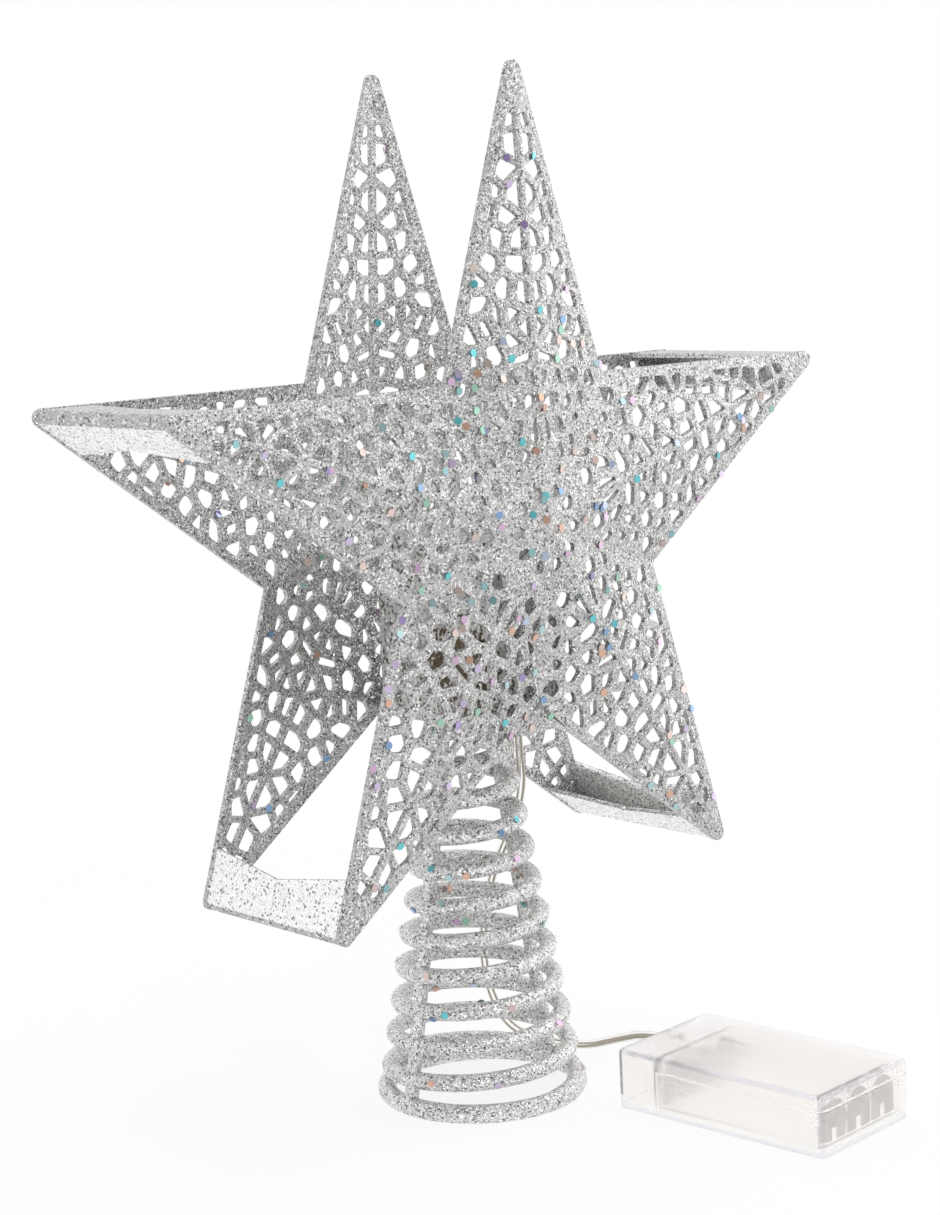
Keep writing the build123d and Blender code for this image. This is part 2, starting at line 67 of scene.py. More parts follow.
def add_object(name, data):
    """Puts a new object into the scene."""
    added = bpy.data.objects.new(name, data)
    bpy.context.scene.collection.objects.link(added)
    return added


def aimed(place, way):
    """Where a camera or lamp stands that looks along a way."""
    return Matrix.Translation(place) @ way.to_track_quat("-Z", "Y").to_matrix().to_4x4()


camera_data = bpy.data.cameras.new("camera")
camera_data.lens = camera_lens
camera_data.sensor_width = camera_sensor
camera = add_object("camera", camera_data)
camera.matrix_world = aimed(camera_place, camera_look) @ Matrix.Rotation(camera_roll, 4, "Z")
bpy.context.scene.camera = camera
bpy.context.scene.view_settings.view_transform = "Standard"


# White room: a pale floor under a sky that is white behind the object and at its right, and darker
# towards the camera. Broad lamps stand at both sides and above, a small one in front at the left and
# a low one beside the camera. The camera sees floor and sky as white, with a faint shadow.
floor_half_side = 4.0
floor_white = (0.97, 0.97, 0.97, 1.0)
shadow_share = 0.16
shadow_fade = (0.10, 0.42)
sky_white = (1.0, 1.0, 1.0, 1.0)
sky_bright_side = Vector((0.55, 0.80, 0.15))
sky_span = (-0.6, 0.25)
sky_light = (0.14, 1.0)
sky_seen_light = 1.0
lamp_target = Vector((0.0, 0.0, 0.14))
room_lamps = (
    ("lamp_right", (1.10, -0.45, 0.30), 1.1, 4.4),
    ("lamp_side", (-0.90, 0.30, 0.45), 0.7, 0.8),
    ("lamp_above", (0.15, -0.25, 1.05), 0.5, 2.4),
    ("lamp_left", (-0.55, -0.95, 0.75), 0.2, 1.7),
    ("lamp_low", (-0.40, -0.62, 0.05), 0.16, 1.0),
)


def feed(tree, entry, given):
    """Gives a node's input a socket to follow, or a fixed value."""
    if isinstance(given, bpy.types.NodeSocket):
        tree.links.new(given, entry)
    else:
        entry.default_value = given


def math_step(tree, operation, *given):
    """Works out a number from sockets or values, and returns its socket."""
    step = tree.nodes.new("ShaderNodeMath")
    step.operation = operation
    for entry, value in zip(step.inputs, given):
        feed(tree, entry, value)
    return step.outputs[0]


def vector_step(tree, operation, first, second=None):
    """Works out a vector, or a number from vectors, and returns its socket."""
    step = tree.nodes.new("ShaderNodeVectorMath")
    step.operation = operation
    feed(tree, step.inputs[0], first)
    if second is not None:
        feed(tree, step.inputs["Scale" if operation == "SCALE" else 1], second)
    return step.outputs["Value" if operation in ("DOT_PRODUCT", "LENGTH", "DISTANCE") else "Vector"]


def ranged(tree, value, reach, result):
    """Maps a value from one range to another, and returns its socket."""
    step = tree.nodes.new("ShaderNodeMapRange")
    for name, amount in zip(("From Min", "From Max", "To Min", "To Max"), (*reach, *result)):
        step.inputs[name].default_value = amount
    tree.links.new(value, step.inputs["Value"])
    return step.outputs["Result"]


def mixed(tree, kind, share, first, second):
    """Mixes two numbers or colours by a share, and returns the mix's socket."""
    step = tree.nodes.new("ShaderNodeMix")
    step.data_type = kind
    feed(tree, step.inputs["Factor"], share)
    feed(tree, step.inputs["A"], first)
    feed(tree, step.inputs["B"], second)
    return step.outputs["Result"]


def mixed_surface(tree, share, first, second):
    """Makes the mix of two shaders a material's surface."""
    blend = tree.nodes.new("ShaderNodeMixShader")
    tree.links.new(share, blend.inputs["Fac"])
    tree.links.new(first, blend.inputs[1])
    tree.links.new(second, blend.inputs[2])
    tree.links.new(blend.outputs["Shader"], tree.nodes["Material Output"].inputs["Surface"])


def new_paint(name, values):
    """A new material and its main shader, which has the given values."""
    paint = bpy.data.materials.new(name)
    paint.use_nodes = True
    shader = paint.node_tree.nodes["Principled BSDF"]
    for entry, value in values.items():
        shader.inputs[entry].default_value = value
    return paint, shader


def finished_mesh(name, form):
    """Turns a worked form into a mesh, and lets the form go."""
    mesh = bpy.data.meshes.new(name)
    form.to_mesh(mesh)
    form.free()
    return mesh


sky = bpy.data.worlds.new("sky")
bpy.context.scene.world = sky
sky.use_nodes = True
sky_tree = sky.node_tree
sky_shader = sky_tree.nodes["Background"]
sky_shader.inputs["Color"].default_value = sky_white
sky_way = sky_tree.nodes.new("ShaderNodeTexCoord").outputs["Generated"]
sky_side = vector_step(sky_tree, "DOT_PRODUCT", sky_way, sky_bright_side.normalized())
sky_level = ranged(sky_tree, sky_side, sky_span, sky_light)
sky_rays = sky_tree.nodes.new("ShaderNodeLightPath").outputs
sky_seen = math_step(sky_tree, "MAXIMUM", sky_rays["Is Camera Ray"], sky_rays["Is Transmission Ray"])
sky_strength = mixed(sky_tree, "FLOAT", sky_seen, sky_level, sky_seen_light)
sky_tree.links.new(sky_strength, sky_shader.inputs["Strength"])

floor_form = bmesh.new()
bmesh.ops.create_grid(floor_form, x_segments=1, y_segments=1, size=floor_half_side)
floor_mesh = finished_mesh("floor", floor_form)
floor = add_object("floor", floor_mesh)
floor_paint, floor_shader = new_paint("floor_paint", {"Base Color": floor_white, "Roughness": 0.9})
floor_tree = floor_paint.node_tree
floor_glow = floor_tree.nodes.new("ShaderNodeEmission")
floor_place = floor_tree.nodes.new("ShaderNodeTexCoord").outputs["Object"]
floor_reach = vector_step(floor_tree, "LENGTH", floor_place)
floor_share = ranged(floor_tree, floor_reach, shadow_fade, (1.0 - shadow_share, 1.0))
mixed_surface(floor_tree, floor_share, floor_shader.outputs["BSDF"], floor_glow.outputs["Emission"])
floor_mesh.materials.append(floor_paint)

for lamp_name, lamp_place, lamp_size, lamp_power in room_lamps:
    lamp_data = bpy.data.lights.new(lamp_name, "AREA")
    lamp_data.size = lamp_size
    lamp_data.energy = lamp_power
    lamp_object = add_object(lamp_name, lamp_data)
    lamp_object.matrix_world = aimed(lamp_place, lamp_target - Vector(lamp_place))


# Star halves: two pierced relief plates of moulded plastic, back to back. Each arm folds along a
# ridge, with rounded cells on both flanks. Walls round four of the tips run back to a seam half
# way through. All of it is coated with the same silver glitter; the walls' lower and inner faces get a
# brighter copy of it, painted light for the bounce from below and for the light inside the walls.
arms = 5
star_height = 0.1535
tip_radius = 0.121
corner_radius = 0.0463
star_depth = 0.0544
relief = 0.0068
plate_wall = 0.0016
nose_radius = 0.00236
nose_steps = 4
border = 0.0026
outline_step = 0.005

centre_web = 0.0034
arm_web = 0.0017
web_ease = 0.085
solid_tip = 0.0150
solid_centre = 0.0040
cell_pitch = 0.0061
row_pitch = 0.0058
row_shift = 0.25
cell_jitter = 0.0021
cell_seed = 5
neighbour_reach = 4 * cell_pitch
least_cell = 1.6e-6
least_breadth = 0.00040
cell_rounding = 0.0006
cell_merge = 0.4 * cell_rounding
rounding_merge = 0.05 * cell_rounding
inside_slack = 1e-11
plan_inside = 1
plan_merge = 1e-6
facet_merge = 1e-5

sharp_angle = math.radians(50)
level_edge = 0.6 * plate_wall
rim_rounding = 0.00028
wall_sheet = 0.0016
wall_reach = 0.0150
wall_slant = 0.004
wall_inset = 0.0002
wall_rounding = 0.0003
seam_gap = 0.0001
ridge_slack = 1e-7
nose_facing = 0.6
upper_facing = 0.5
web_panel_reach = 0.0528
web_panel_root = 0.96
web_panel_inset = 0.0004

grain_ends = ((0.40, 0.40, 0.40, 1.0), (0.70, 0.695, 0.69, 1.0))
grain_steps = ((0.12, 0.50), (0.35, 0.56), (0.75, 0.60))
grain_warmth = (1.0, 0.993, 0.982)
flake_coarseness = 0.62
flake_from = 0.56
flake_gloss = (0.42, 0.24)
flake_gain = 1.9
# A share of the flakes is painted dark grey: a painted reflection of the dark room, as flakes turned away
# from the light would show it.
painted_shade_speck_below = 0.11
painted_shade_speck_grey = (0.18, 0.18, 0.18, 1.0)
# A share of the flakes is painted near white: painted highlights that stand in for the lamps' sparkle in the
# flakes.
painted_glint_from = 0.88
painted_glint_white = (0.96, 0.955, 0.945, 1.0)
colour_middle = (0.5, 0.5, 0.5)
coat_flakes = 3400.0
coat_metal = 0.8

half_step = math.pi / arms
tip = Vector((tip_radius, 0.0, 0.0))
corner = Vector((math.cos(half_step), math.sin(half_step), 0.0)) * corner_radius
flank_angle = math.atan2(corner.y, tip_radius - corner.x)
flank_inward = Vector((-math.sin(flank_angle), -math.cos(flank_angle), 0.0))
valley_inward = Vector((math.sin(half_step), -math.cos(half_step), 0.0))
across_fall = (1.0 - corner.x / tip_radius) / corner.y
nose_centre = tip_radius - nose_radius / math.sin(flank_angle)
arm_turns = [math.pi / 2 + 2 * half_step * arm for arm in range(arms)]


def facet_matrix(turn, side):
    """From a flat facet, x along an arm and y across it, to its place on the star's front."""
    along = (math.cos(turn), relief / tip_radius, math.sin(turn))
    across = (-math.sin(turn) * side, relief * across_fall, math.cos(turn) * side)
    into = (0.0, 1.0, 0.0)
    origin = (0.0, -star_depth / 2 - relief, star_height)
    return Matrix((
        (along[0], across[0], into[0], origin[0]),
        (along[1], across[1], into[1], origin[1]),
        (along[2], across[2], into[2], origin[2]),
        (0.0, 0.0, 0.0, 1.0),
    ))


def cut(form, point, keep):
    """Cuts away what lies behind a plane."""
    bmesh.ops.bisect_plane(
        form, geom=form.verts[:] + form.edges[:] + form.faces[:],
        plane_co=point, plane_no=keep, clear_inner=True,
    )


def round_off(form, geometry, width, steps, affect):
    """Rounds corners or edges."""
    bmesh.ops.bevel(
        form, geom=geometry, offset=width, offset_type="OFFSET", segments=steps, profile=0.5,
        affect=affect, clamp_overlap=True, material=-1,
    )


def thicken(form, faces, way):
    """Draws faces out along a way, to a closed body."""
    drawn = bmesh.ops.extrude_face_region(form, geom=faces, use_keep_orig=True)["geom"]
    bmesh.ops.translate(
        form, vec=way, verts=[piece for piece in drawn if isinstance(piece, bmesh.types.BMVert)],
    )


def nose_points(steps):
    """Half of the rounded tip of an arm, from the ridge to the flank."""
    swing = math.pi / 2 - flank_angle
    turns = [swing * step / steps for step in range(steps + 1)]
    return [
        Vector((nose_centre + math.cos(turn) * nose_radius, math.sin(turn) * nose_radius, 0.0))
        for turn in turns
    ]


def spaced(start, end):
    """Evenly spaced points from one point up to, but without, the next."""
    count = max(1, round((end - start).length / outline_step))
    return [start.lerp(end, step / count) for step in range(count)]


def inside(loop, spot):
    """Whether a spot lies in a convex loop."""
    turns = [(ahead - here).cross(spot - here).z for here, ahead in zip(loop, loop[1:] + loop[:1])]
    return min(turns) > -inside_slack or max(turns) < inside_slack


jitter = random.Random(cell_seed)
sites = []
for place in range(int(tip_radius / row_pitch) + 1):
    for row in range(int(corner.y / cell_pitch) + 2):
        sites.append(Vector((
            (place + 0.5) * row_pitch + jitter.uniform(-cell_jitter, cell_jitter),
            (row + 0.5 - row_shift * (-1) ** place) * cell_pitch + jitter.uniform(-cell_jitter, cell_jitter),
            0.0,
        )))

hole_loops = []
for site in sites:
    web = centre_web + (arm_web - centre_web) * min(1.0, site.x / web_ease)
    cell = bmesh.new()
    cell.faces.new([cell.verts.new(spot) for spot in (Vector(), tip, corner)])
    cut(cell, Vector((0.0, web / 2, 0.0)), Vector((0.0, 1.0, 0.0)))
    cut(cell, valley_inward * web / 2, valley_inward)
    cut(cell, tip + flank_inward * border, flank_inward)
    cut(cell, Vector((tip_radius - solid_tip, 0.0, 0.0)), Vector((-1.0, 0.0, 0.0)))
    cut(cell, corner.normalized() * solid_centre, corner + tip)
    for other in sites:
        if other is not site and (other - site).length < neighbour_reach:
            away = (site - other).normalized()
            cut(cell, (site + other) / 2 + away * web / 2, away)
    bmesh.ops.remove_doubles(cell, verts=cell.verts[:], dist=cell_merge)
    size = sum(face.calc_area() for face in cell.faces)
    if size > max(least_cell, least_breadth * sum(edge.calc_length() for edge in cell.edges)):
        round_off(cell, cell.verts[:], cell_rounding, 2, "VERTICES")
        bmesh.ops.remove_doubles(cell, verts=cell.verts[:], dist=rounding_merge)
        largest = max(cell.faces, key=lambda face: face.calc_area())
        hole_loops.append([loop.vert.co.copy() for loop in largest.loops])
    cell.free()

nose = nose_points(nose_steps)
facet_edge = spaced(Vector(), nose[0]) + nose[:-1] + spaced(nose[-1], corner) + spaced(corner, Vector())
plan = []
plan_edges = []
for loop in [facet_edge] + hole_loops:
    plan_edges += [(len(plan) + step, len(plan) + (step + 1) % len(loop)) for step in range(len(loop))]
    plan += [spot.to_2d() for spot in loop]
planned = delaunay_2d_cdt(plan, plan_edges, [], plan_inside, plan_merge)
plan_spots, plan_faces = planned[0], planned[2]
facet = bmesh.new()
facet_spots = [facet.verts.new(spot.to_3d()) for spot in plan_spots]
for triangle in plan_faces:
    middle = sum((plan_spots[index].to_3d() for index in triangle), Vector()) / 3
    if not any(inside(loop, middle) for loop in hole_loops):
        facet.faces.new([facet_spots[index] for index in triangle])
facet_mesh = finished_mesh("facet", facet)

star = bmesh.new()
for turn in arm_turns:
    for side in (1, -1):
        first = len(star.verts)
        star.from_mesh(facet_mesh)
        star.verts.ensure_lookup_table()
        bmesh.ops.transform(star, matrix=facet_matrix(turn, side), verts=star.verts[first:])
bmesh.ops.remove_doubles(star, verts=star.verts[:], dist=facet_merge)
bmesh.ops.recalc_face_normals(star, faces=star.faces[:])
thicken(star, star.faces[:], (0.0, plate_wall, 0.0))
bmesh.ops.recalc_face_normals(star, faces=star.faces[:])
rims = [edge for edge in star.edges if edge.calc_face_angle(0.0) > sharp_angle
        and abs(edge.verts[0].co.y - edge.verts[1].co.y) < level_edge]
round_off(star, rims, rim_rounding, 1, "EDGES")

mouth_along = nose_centre + nose_radius - wall_reach
flare = math.tan(flank_angle)
hollow_tip = tip_radius - wall_sheet / math.sin(flank_angle)
hollow_end = nose_centre + nose_radius - wall_sheet
for turn in arm_turns[1:]:
    wall = bmesh.new()
    outer = nose_points(nose_steps) + [Vector((mouth_along, (tip_radius - mouth_along) * flare, 0.0))]
    outer = [spot + flank_inward * wall_inset for spot in outer]
    hollow = [
        Vector((mouth_along, (hollow_tip - mouth_along) * flare, 0.0)),
        Vector((hollow_end, (hollow_tip - hollow_end) * flare, 0.0)) if hollow_end < hollow_tip
        else Vector((hollow_tip, 0.0, 0.0)),
    ]
    upper = outer + hollow
    lower = [Vector((spot.x, -spot.y, 0.0)) for spot in reversed(upper) if spot.y > ridge_slack]
    wall_face = wall.faces.new([wall.verts.new(spot) for spot in upper + lower])
    thicken(wall, [wall_face], (0.0, 0.0, star_depth / 2 - seam_gap))
    cut(wall, (mouth_along, 0.0, 0.0), (star_depth / 2, 0.0, -wall_slant))
    bmesh.ops.holes_fill(wall, edges=[edge for edge in wall.edges if edge.is_boundary])
    bmesh.ops.recalc_face_normals(wall, faces=wall.faces[:])
    sharp = [edge for edge in wall.edges if edge.calc_face_angle(0.0) > sharp_angle]
    round_off(wall, sharp, wall_rounding, 2, "EDGES")
    # All wall faces but the nose and the upward outer faces take the brighter copy of the glitter: painted
    # light for the bounce from below and the light inside the wall.
    for face in wall.faces:
        outside = face.normal.y * face.calc_center_median().y > 0.0
        rising = math.sin(turn) * face.normal.x + math.cos(turn) * face.normal.y
        if face.normal.x < nose_facing and not (outside and rising > upper_facing):
            face.material_index = 1
    wall.transform(Matrix((
        (math.cos(turn), -math.sin(turn), 0.0, 0.0),
        (0.0, 0.0, 1.0, -star_depth / 2 + seam_gap),
        (math.sin(turn), math.cos(turn), 0.0, star_height),
        (0.0, 0.0, 0.0, 1.0),
    )))
    star.from_mesh(finished_mesh("tip_wall", wall))

for side in (1, -1):
    panel = bmesh.new()
    turn = -math.pi / 2 - side * half_step
    drop = (web_panel_reach - corner_radius) / (tip_radius * math.cos(half_step) - corner_radius)
    panel_spots = [
        corner * web_panel_root, corner + (tip - corner) * drop + flank_inward * web_panel_inset,
        corner * (web_panel_reach / corner_radius),
    ]
    panel_face = panel.faces.new([panel.verts.new(spot) for spot in panel_spots])
    thicken(panel, [panel_face], (0.0, 0.0, plate_wall))
    panel.transform(facet_matrix(turn, side))
    bmesh.ops.recalc_face_normals(panel, faces=panel.faces[:])
    star.from_mesh(finished_mesh("web_panel", panel))

bmesh.ops.recalc_face_normals(star, faces=star.faces[:])
front_mesh = bpy.data.meshes.new("front_half")
star.to_mesh(front_mesh)
star.transform(Matrix.Scale(-1.0, 4, (0.0, 1.0, 0.0)))
bmesh.ops.reverse_faces(star, faces=star.faces[:])
back_mesh = finished_mesh("back_half", star)

glitter = bpy.data.node_groups.new("glitter", "ShaderNodeTree")
for entry in ("Flakes", "Tilt", "Tone"):
    glitter.interface.new_socket(entry, in_out="INPUT", socket_type="NodeSocketFloat")
for effect, kind in (("Color", "Color"), ("Roughness", "Float"), ("Normal", "Vector")):
    glitter.interface.new_socket(effect, in_out="OUTPUT", socket_type="NodeSocket" + kind)
glitter_in = glitter.nodes.new("NodeGroupInput").outputs
glitter_out = glitter.nodes.new("NodeGroupOutput").inputs
glitter_place = glitter.nodes.new("ShaderNodeTexCoord").outputs["Object"]


def flake_crowd(scale):
    """A crowd of flakes with a random colour each, and the parts of that colour."""
    crowd = glitter.nodes.new("ShaderNodeTexVoronoi")
    glitter.links.new(glitter_place, crowd.inputs["Vector"])
    glitter.links.new(scale, crowd.inputs["Scale"])
    parts = glitter.nodes.new("ShaderNodeSeparateColor")
    glitter.links.new(crowd.outputs["Color"], parts.inputs["Color"])
    return crowd.outputs["Color"], parts.outputs


grain, grain_parts = flake_crowd(glitter_in["Flakes"])
grain_tone = glitter.nodes.new("ShaderNodeValToRGB")
for element, colour in zip(grain_tone.color_ramp.elements, grain_ends):
    element.color = colour
for position, tone in grain_steps:
    grain_tone.color_ramp.elements.new(position).color = (*(tone * part for part in grain_warmth), 1.0)
glitter.links.new(grain_parts["Red"], grain_tone.inputs["Fac"])

flakes, flake_parts = flake_crowd(math_step(glitter, "MULTIPLY", glitter_in["Flakes"], flake_coarseness))
flake_mask = math_step(glitter, "GREATER_THAN", flake_parts["Red"], flake_from)
# Painted shade: flakes below this share are painted dark grey, as painted dark reflections.
painted_shade_speck_mask = math_step(glitter, "LESS_THAN", flake_parts["Green"], painted_shade_speck_below)
# Painted highlight: flakes above this share are painted near white as glints.
painted_glint_mask = math_step(glitter, "GREATER_THAN", flake_parts["Green"], painted_glint_from)
painted_shade_speck_tone = mixed(glitter, "RGBA", painted_shade_speck_mask, grain_tone.outputs["Color"], painted_shade_speck_grey)
painted_glint_tone = mixed(glitter, "RGBA", painted_glint_mask, painted_shade_speck_tone, painted_glint_white)
glitter.links.new(vector_step(glitter, "SCALE", painted_glint_tone, glitter_in["Tone"]), glitter_out["Color"])
glitter.links.new(ranged(glitter, flake_mask, (0.0, 1.0), flake_gloss), glitter_out["Roughness"])

grain_lean = vector_step(glitter, "SUBTRACT", grain, colour_middle)
grain_tilt = vector_step(glitter, "SCALE", grain_lean, glitter_in["Tilt"])
flake_lean = vector_step(glitter, "SUBTRACT", flakes, colour_middle)
flake_reach = math_step(glitter, "MULTIPLY", glitter_in["Tilt"], flake_gain)
flake_swing = math_step(glitter, "MULTIPLY", flake_mask, flake_reach)
flake_tilt = vector_step(glitter, "SCALE", flake_lean, flake_swing)
flat_normal = glitter.nodes.new("ShaderNodeNewGeometry").outputs["Normal"]
grain_normal = vector_step(glitter, "ADD", flat_normal, grain_tilt)
flake_normal = vector_step(glitter, "ADD", grain_normal, flake_tilt)
glitter.links.new(vector_step(glitter, "NORMALIZE", flake_normal), glitter_out["Normal"])


def add_glitter(material, flakes, tilt, tone):
    """Adds the glitter effect to a material, and returns what it puts out."""
    effect = material.node_tree.nodes.new("ShaderNodeGroup")
    effect.node_tree = glitter
    for entry, value in (("Flakes", flakes), ("Tilt", tilt), ("Tone", tone)):
        effect.inputs[entry].default_value = value
    return effect.outputs


def glitter_coat(name, tone, tilt):
    """A material of silver glitter, as light as its tone and as rough as its tilt say."""
    coat, coat_shader = new_paint(name, {"Metallic": coat_metal})
    coat_grain = add_glitter(coat, coat_flakes, tilt, tone)
    for effect, entry in (("Color", "Base Color"), ("Roughness", "Roughness"), ("Normal", "Normal")):
        coat.node_tree.links.new(coat_grain[effect], coat_shader.inputs[entry])
    return coat


silver = glitter_coat("silver_glitter", tone=0.93, tilt=0.6)
# A brighter copy of the same glitter: painted light on the walls' lower and inner faces.
wall_painted_light_silver = glitter_coat("wall_glitter_painted_light", tone=1.60, tilt=0.2)

for name, mesh, node in (("front_half", front_mesh, "front_star"), ("back_half", back_mesh, "back_star")):
    mesh.materials.append(silver)
    mesh.materials.append(wall_painted_light_silver)
    half = add_object(name, mesh)
    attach(half, "topper")
    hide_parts(node)


# Base plate: the bridge between the two halves, moulded with tongues that pass through them and
# coated like them.
def dress(name, material):
    """Gives a piece of the frame its material."""
    nodes[name].data.materials.clear()
    nodes[name].data.materials.append(material)


dress("base_plate", silver)


# Tree cone: one moulding of a foot ring, a right-handed spiral of round wire, two ribs that hold
# its turns, and a cap whose neck snaps through the base plate. It is coated with glitter too.
wire_radius = 0.0023
wire_sides = 4
ring_radius = 0.0025
ring_height = 0.0020
ring_sides = 20
ring_steps = 80
foot_radius = 0.0256
top_radius = 0.0085
coil_rise = 0.0975
coil_turns = 10.833
coil_start = math.radians(-98.4)
coil_steps = 40
rib_width = 0.0032
rib_depth = 0.0030
rib_rounding = 0.0007
cap_profile = [
    (0.0, 0.0985), (0.0108, 0.0985), (0.0113, 0.0987), (0.0115, 0.0992), (0.0115, 0.1018),
    (0.0113, 0.1023), (0.0108, 0.1025), (0.0050, 0.1025), (0.0050, 0.1045), (0.0055, 0.1046),
    (0.0050, 0.1057), (0.0, 0.1057),
]
cap_steps = 48
cap_merge = 1e-6


def curve_mesh(curve):
    """The mesh of a curve, with its thickness."""
    holder = add_object(curve.name, curve)
    bpy.context.view_layer.update()
    mesh = bpy.data.meshes.new_from_object(holder.evaluated_get(bpy.context.evaluated_depsgraph_get()))
    bpy.data.objects.remove(holder)
    return mesh


def wire_mesh(name, spots, radius, sides):
    """Round wire along a row of points, as a mesh."""
    curve = bpy.data.curves.new(name, "CURVE")
    curve.dimensions = "3D"
    curve.bevel_depth = radius
    curve.bevel_resolution = sides
    curve.use_fill_caps = True
    row = curve.splines.new("POLY")
    row.points.add(len(spots) - 1)
    for point, spot in zip(row.points, spots):
        point.co = (*spot, 1.0)
    return curve_mesh(curve)


def spiral_row(start_radius, end_radius, rise, turns, start_turn, steps):
    """Points of a spiral that climbs the Z axis."""
    count = int(turns * steps)
    row = []
    for step in range(count + 1):
        share = step / count
        turn = start_turn + 2 * math.pi * turns * share
        radius = start_radius + (end_radius - start_radius) * share
        row.append(Vector((math.cos(turn) * radius, math.sin(turn) * radius, rise * share)))
    return row


def turn_round(form, steps):
    """Turns a profile once round the Z axis."""
    bmesh.ops.spin(
        form, geom=form.verts[:] + form.edges[:], axis=(0.0, 0.0, 1.0), cent=(0.0, 0.0, 0.0),
        angle=2 * math.pi, steps=steps, use_merge=True,
    )


coil_row = spiral_row(foot_radius, top_radius, coil_rise, coil_turns, coil_start, coil_steps)
coil_row = [spot + Vector((0.0, 0.0, ring_height)) for spot in coil_row]
cone = bmesh.new()
cone.from_mesh(wire_mesh("coil", coil_row, wire_radius, wire_sides))

ring = bmesh.new()
bmesh.ops.create_circle(
    ring, segments=ring_sides, radius=ring_radius,
    matrix=Matrix.Translation((foot_radius, 0.0, ring_height)) @ Matrix.Rotation(math.pi / 2, 4, "X"),
)
turn_round(ring, ring_steps)
cut(ring, (0.0, 0.0, 0.0), (0.0, 0.0, 1.0))
bmesh.ops.bridge_loops(ring, edges=[edge for edge in ring.edges if edge.is_boundary])
bmesh.ops.recalc_face_normals(ring, faces=ring.faces[:])
cone.from_mesh(finished_mesh("foot_ring", ring))

rib_lean = math.atan2(foot_radius - top_radius, coil_rise)
rib_size = (rib_depth * math.cos(rib_lean), rib_width, coil_rise / math.cos(rib_lean), 1.0)
for side in (1, -1):
    rib = bmesh.new()
    bmesh.ops.create_cube(rib, size=1.0)
    rib.transform(Matrix.Diagonal(rib_size))
    round_off(rib, rib.edges[:], rib_rounding, 3, "EDGES")
    rib.transform(
        Matrix.Translation((side * (foot_radius + top_radius) / 2, 0.0, ring_height + coil_rise / 2))
        @ Matrix.Rotation(-side * rib_lean, 4, "Y")
    )
    cone.from_mesh(finished_mesh("rib", rib))

cap = bmesh.new()
cap_row = [cap.verts.new((radius, 0.0, height)) for radius, height in cap_profile]
for here, ahead in zip(cap_row, cap_row[1:]):
    cap.edges.new((here, ahead))
turn_round(cap, cap_steps)
bmesh.ops.remove_doubles(cap, verts=cap.verts[:], dist=cap_merge)
bmesh.ops.recalc_face_normals(cap, faces=cap.faces[:])
cone.from_mesh(finished_mesh("cap", cap))
cut(cone, (0.0, 0.0, 0.0), (0.0, 0.0, 1.0))
for face in cone.faces:
    face.smooth = True

cone_mesh = finished_mesh("spiral_cone", cone)
# The cone takes a brighter copy of the star's glitter, painted light that makes up for the shade the star
# casts on it.
cone_mesh.materials.append(glitter_coat("cone_glitter_painted_light", tone=1.38, tilt=0.8))
cone_piece = add_object("spiral_cone", cone_mesh)
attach(cone_piece, "topper")
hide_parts("tree_cone")


# Sequins: flat hexagons of iridescent film, scattered in the glitter while its glue was wet, most
# of them on the star's front and some on the cone.
sequin_radius = 0.00108
sequin_sheet = 0.00012
sequin_sides = 6
sequin_lift = 0.0003
sequin_lean = 0.25
sequin_reach = 0.106
sequin_seed = 23
least_facing = 0.7
sequin_throws = (
    (front_mesh, 950, -star_depth), (back_mesh, 460, star_depth), (back_mesh, 190, 0.0),
    (cone_mesh, 110, None),
)
sequin_tints = [
    (0.16, 0.58, 0.62), (0.24, 0.38, 0.60), (0.62, 0.50, 0.46), (0.36, 0.28, 0.52), (0.64, 0.44, 0.62),
    (0.70, 0.44, 0.33), (0.34, 0.58, 0.46), (0.26, 0.46, 0.48), (0.76, 0.60, 0.55), (0.50, 0.58, 0.76),
    (0.60, 0.50, 0.70), (0.44, 0.62, 0.64),
]
scatter = random.Random(sequin_seed)
sequins = bmesh.new()
tint_layer = sequins.verts.layers.float_color.new("tint")
for mesh, throws, throw_from in sequin_throws:
    coated = BVHTree.FromPolygons(
        [vertex.co for vertex in mesh.vertices], [face.vertices[:] for face in mesh.polygons],
    )
    for throw in range(throws):
        across = scatter.uniform(-1.0, 1.0)
        up = scatter.uniform(0.0, 1.0)
        if throw_from is None:
            turn = across * math.pi
            aim = Vector((-math.cos(turn), -math.sin(turn), 0.0))
            start = Vector((0.0, 0.0, coil_rise * up)) - aim * (2 * foot_radius)
        else:
            aim = Vector((0.0, -1.0 if throw_from > 0.0 else 1.0, 0.0))
            start = Vector((tip_radius * across, throw_from, star_height + tip_radius * (2 * up - 1)))
        spot, facing = coated.ray_cast(start, aim)[:2]
        if spot is None or facing.dot(aim) > -least_facing:
            continue
        room = [min(here - low, high - here) for low, here, high in zip(cad_bounds[0], spot, cad_bounds[1])]
        outward = (spot - Vector((0.0, spot.y, star_height))).length
        if min(room) < sequin_radius or (throw_from is not None and outward > sequin_reach):
            continue
        lean = Vector((
            scatter.uniform(-sequin_lean, sequin_lean), 0.0, scatter.uniform(-sequin_lean, sequin_lean),
        ))
        placed = (
            Matrix.Translation(spot + facing * sequin_lift)
            @ (facing + lean).normalized().to_track_quat("Z", "Y").to_matrix().to_4x4()
            @ Matrix.Rotation(scatter.uniform(0.0, math.pi), 4, "Z")
        )
        disc = bmesh.ops.create_cone(
            sequins, cap_ends=True, segments=sequin_sides, radius1=sequin_radius, radius2=sequin_radius,
            depth=sequin_sheet, matrix=placed,
        )
        tint = scatter.choice(sequin_tints)
        for vert in disc["verts"]:
            vert[tint_layer] = (*tint, 1.0)
sequin_mesh = finished_mesh("sequins", sequins)

